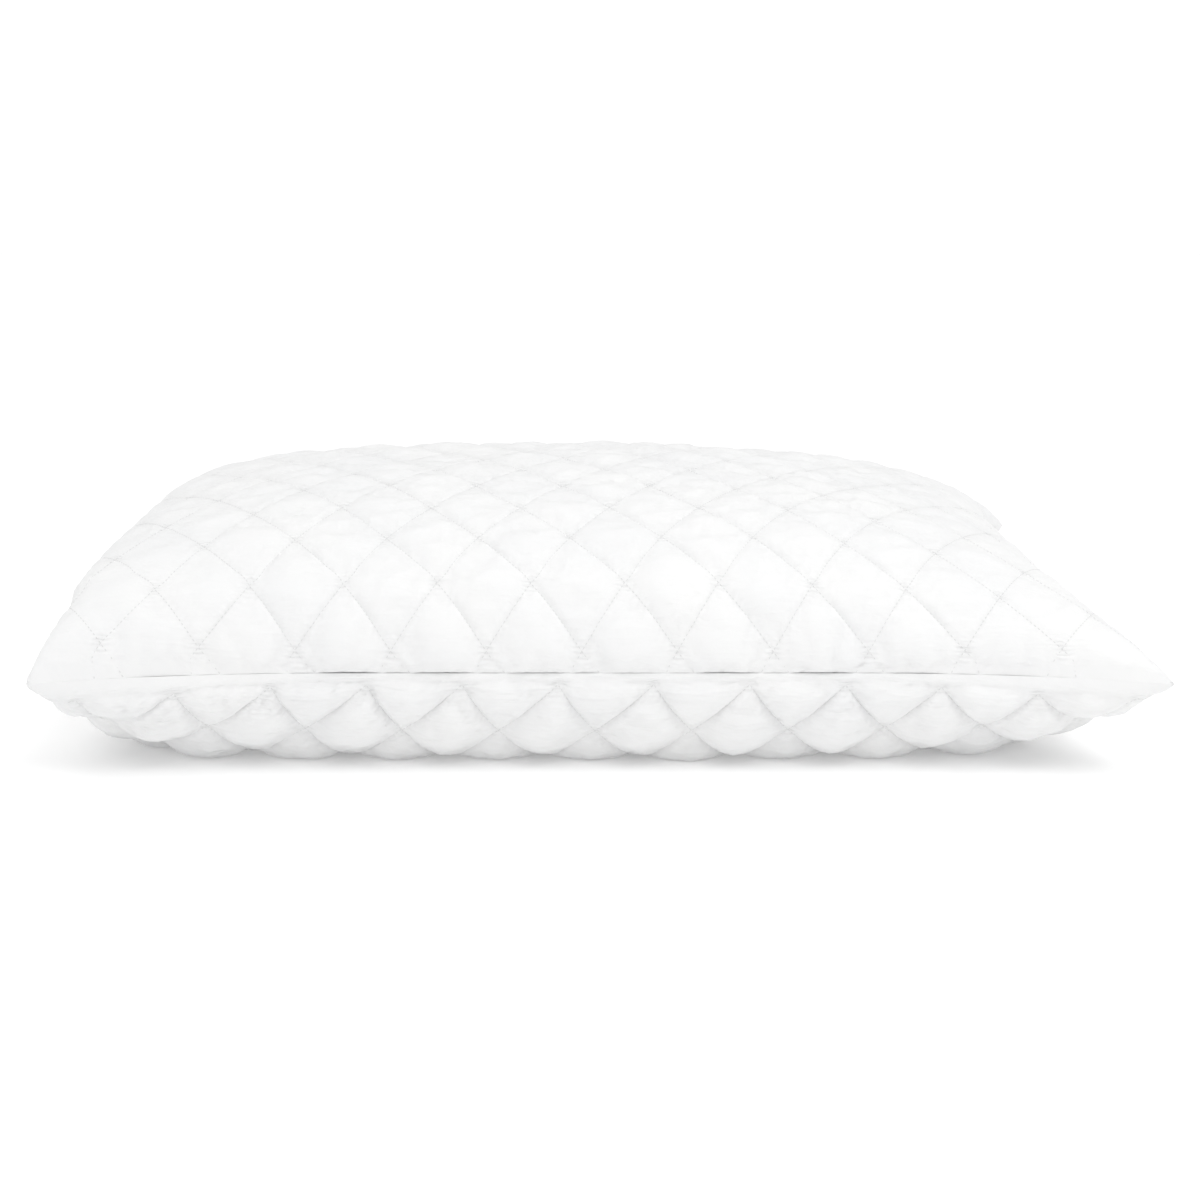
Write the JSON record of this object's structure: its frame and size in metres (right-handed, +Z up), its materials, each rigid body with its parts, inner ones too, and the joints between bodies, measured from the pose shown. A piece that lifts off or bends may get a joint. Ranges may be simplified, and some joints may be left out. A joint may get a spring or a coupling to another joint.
{
  "type": "bed pillow",
  "caption": "Bed pillow lying flat: a fibre-filled inner pillow inside a zipped, diamond-quilted white cotton cover.",
  "frame": {"origin": "on the floor under the middle of the pillow's outline", "axes": "+Z up; X along the long sides, with the zip in the -X side; -Y is the front long side"},
  "size_m": [0.64, 0.493, 0.154],
  "materials": {
    "quilted_cotton": "matte",
    "lining": "matte",
    "polyester_fibre": "matte",
    "casing_cotton": "matte",
    "seam_thread": "matte",
    "label_satin": "satin",
    "zip_tape": "matte",
    "zip_teeth": "satin",
    "zip_metal": "satin"
  },
  "bodies": {
    "pillow": {"cover_top_face": "quilted_cotton", "cover_top_wadding": "polyester_fibre", "cover_top_lining": "lining", "cover_bottom_face": "quilted_cotton", "cover_bottom_wadding": "polyester_fibre", "cover_bottom_lining": "lining", "cover_seam_binding": "seam_thread", "casing_top": "casing_cotton", "casing_bottom": "casing_cotton", "casing_seam": "seam_thread", "fibre_fill": "polyester_fibre", "care_label": "label_satin", "zip_tape_upper": "zip_tape", "zip_tape_lower": "zip_tape", "zip_teeth_upper": "zip_teeth", "zip_teeth_lower": "zip_teeth", "zip_top_stop_upper": "zip_metal", "zip_top_stop_lower": "zip_metal", "zip_bottom_stop": "zip_metal"},
    "slider": {"zip_slider": "zip_metal"},
    "puller": {"zip_puller": "zip_metal"}
  },
  "joints": [
    {"name": "zip_slide", "type": "slide", "parent": "pillow", "child": "slider", "axis": [0, 1, 0], "range_m": [0, 0.34]},
    {"name": "puller_swing", "type": "hinge", "parent": "slider", "child": "puller", "pos_m": [-0.3076, -0.17, 0.0773], "axis": [0, 0, 1], "range_deg": [0, 165]}
  ]
}
